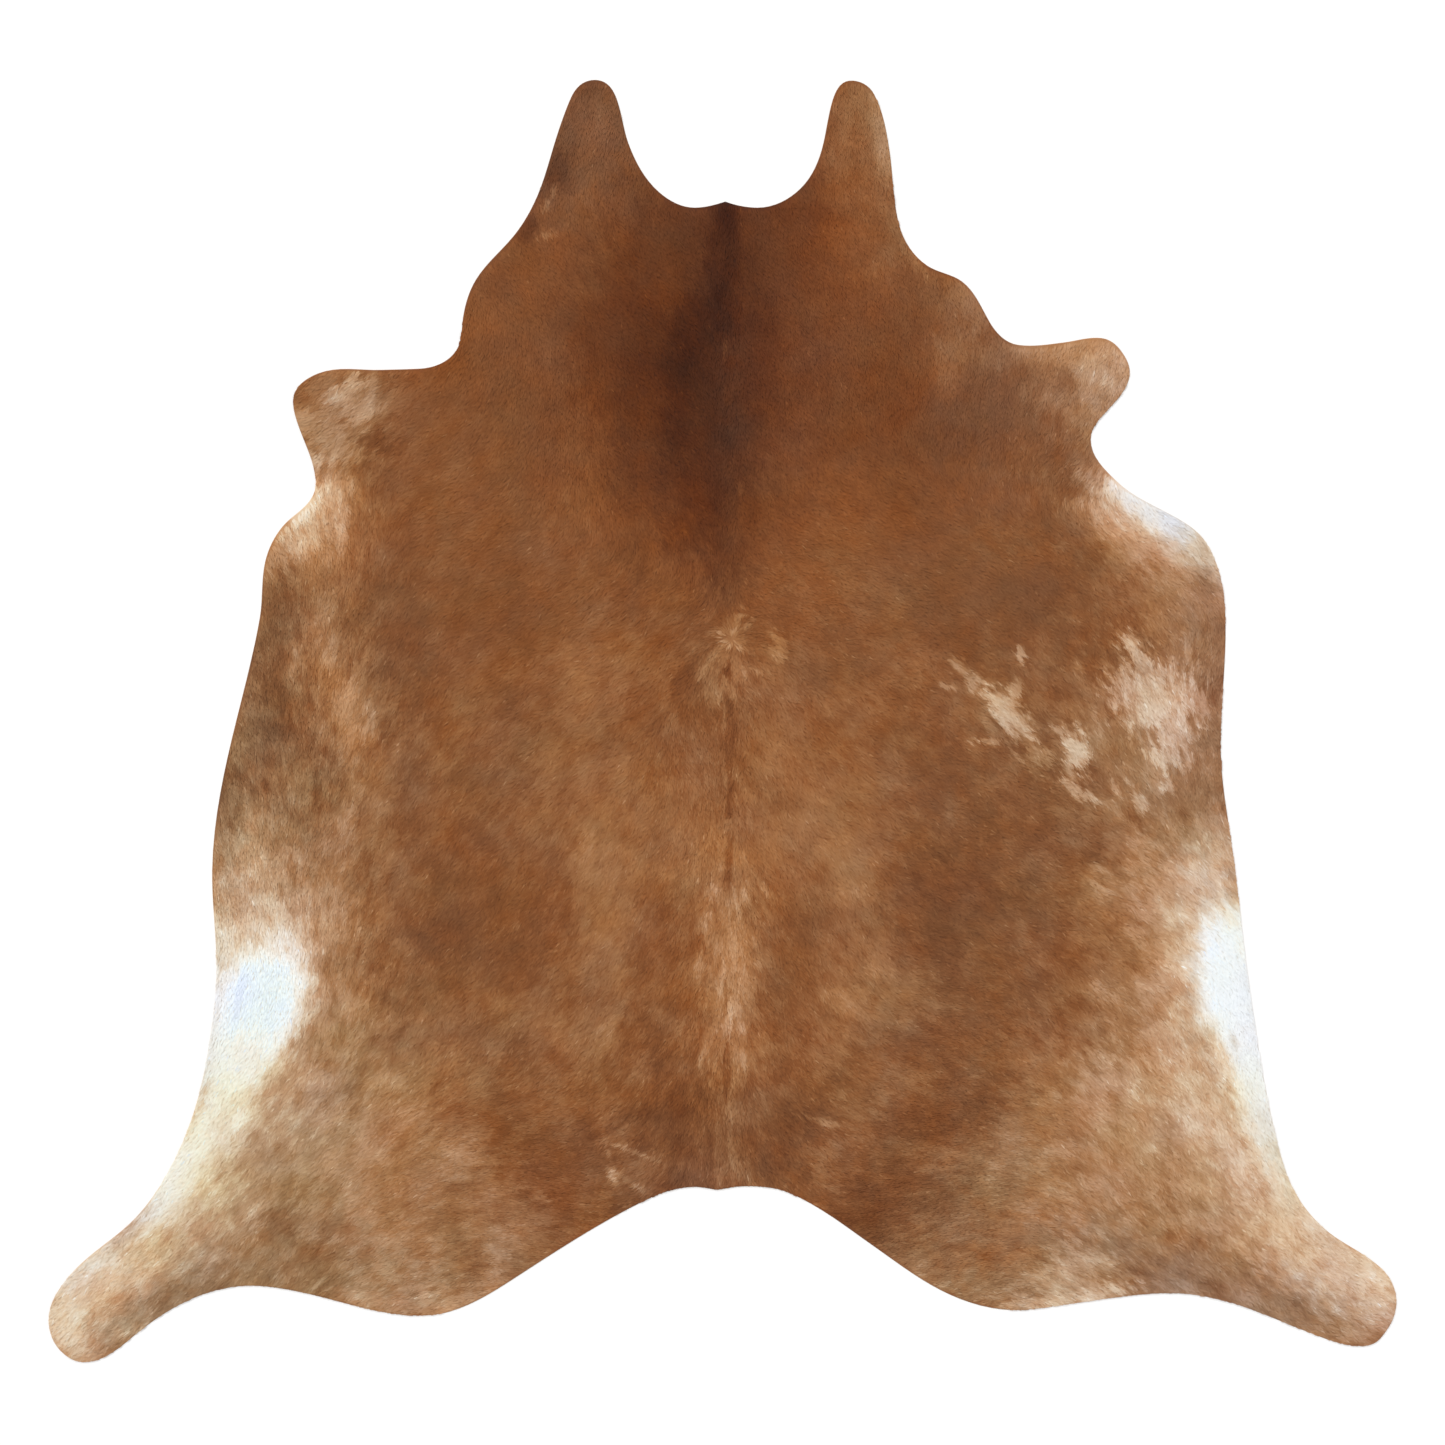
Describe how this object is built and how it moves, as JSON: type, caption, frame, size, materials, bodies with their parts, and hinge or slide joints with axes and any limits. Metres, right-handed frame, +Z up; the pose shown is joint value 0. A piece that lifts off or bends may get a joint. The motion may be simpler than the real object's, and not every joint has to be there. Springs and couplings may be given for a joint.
{
  "type": "cowhide rug",
  "caption": "Whole cowhide dressed with its short brown hair on, lying flat as a floor rug, with neck flaps, forelegs and hind legs left in its outline.",
  "frame": {"origin": "on the floor under the middle of the rug's outline", "axes": "+Y towards the neck, +X towards the right side seen from above with the neck up, +Z up out of the hair side"},
  "size_m": [2.209, 2.1014, 0.0045],
  "materials": {
    "hair_coat": "short lying hair over soft tanned leather, low sheen"
  },
  "bodies": {
    "root": {"hide": "hair_coat"}
  },
  "joints": []
}
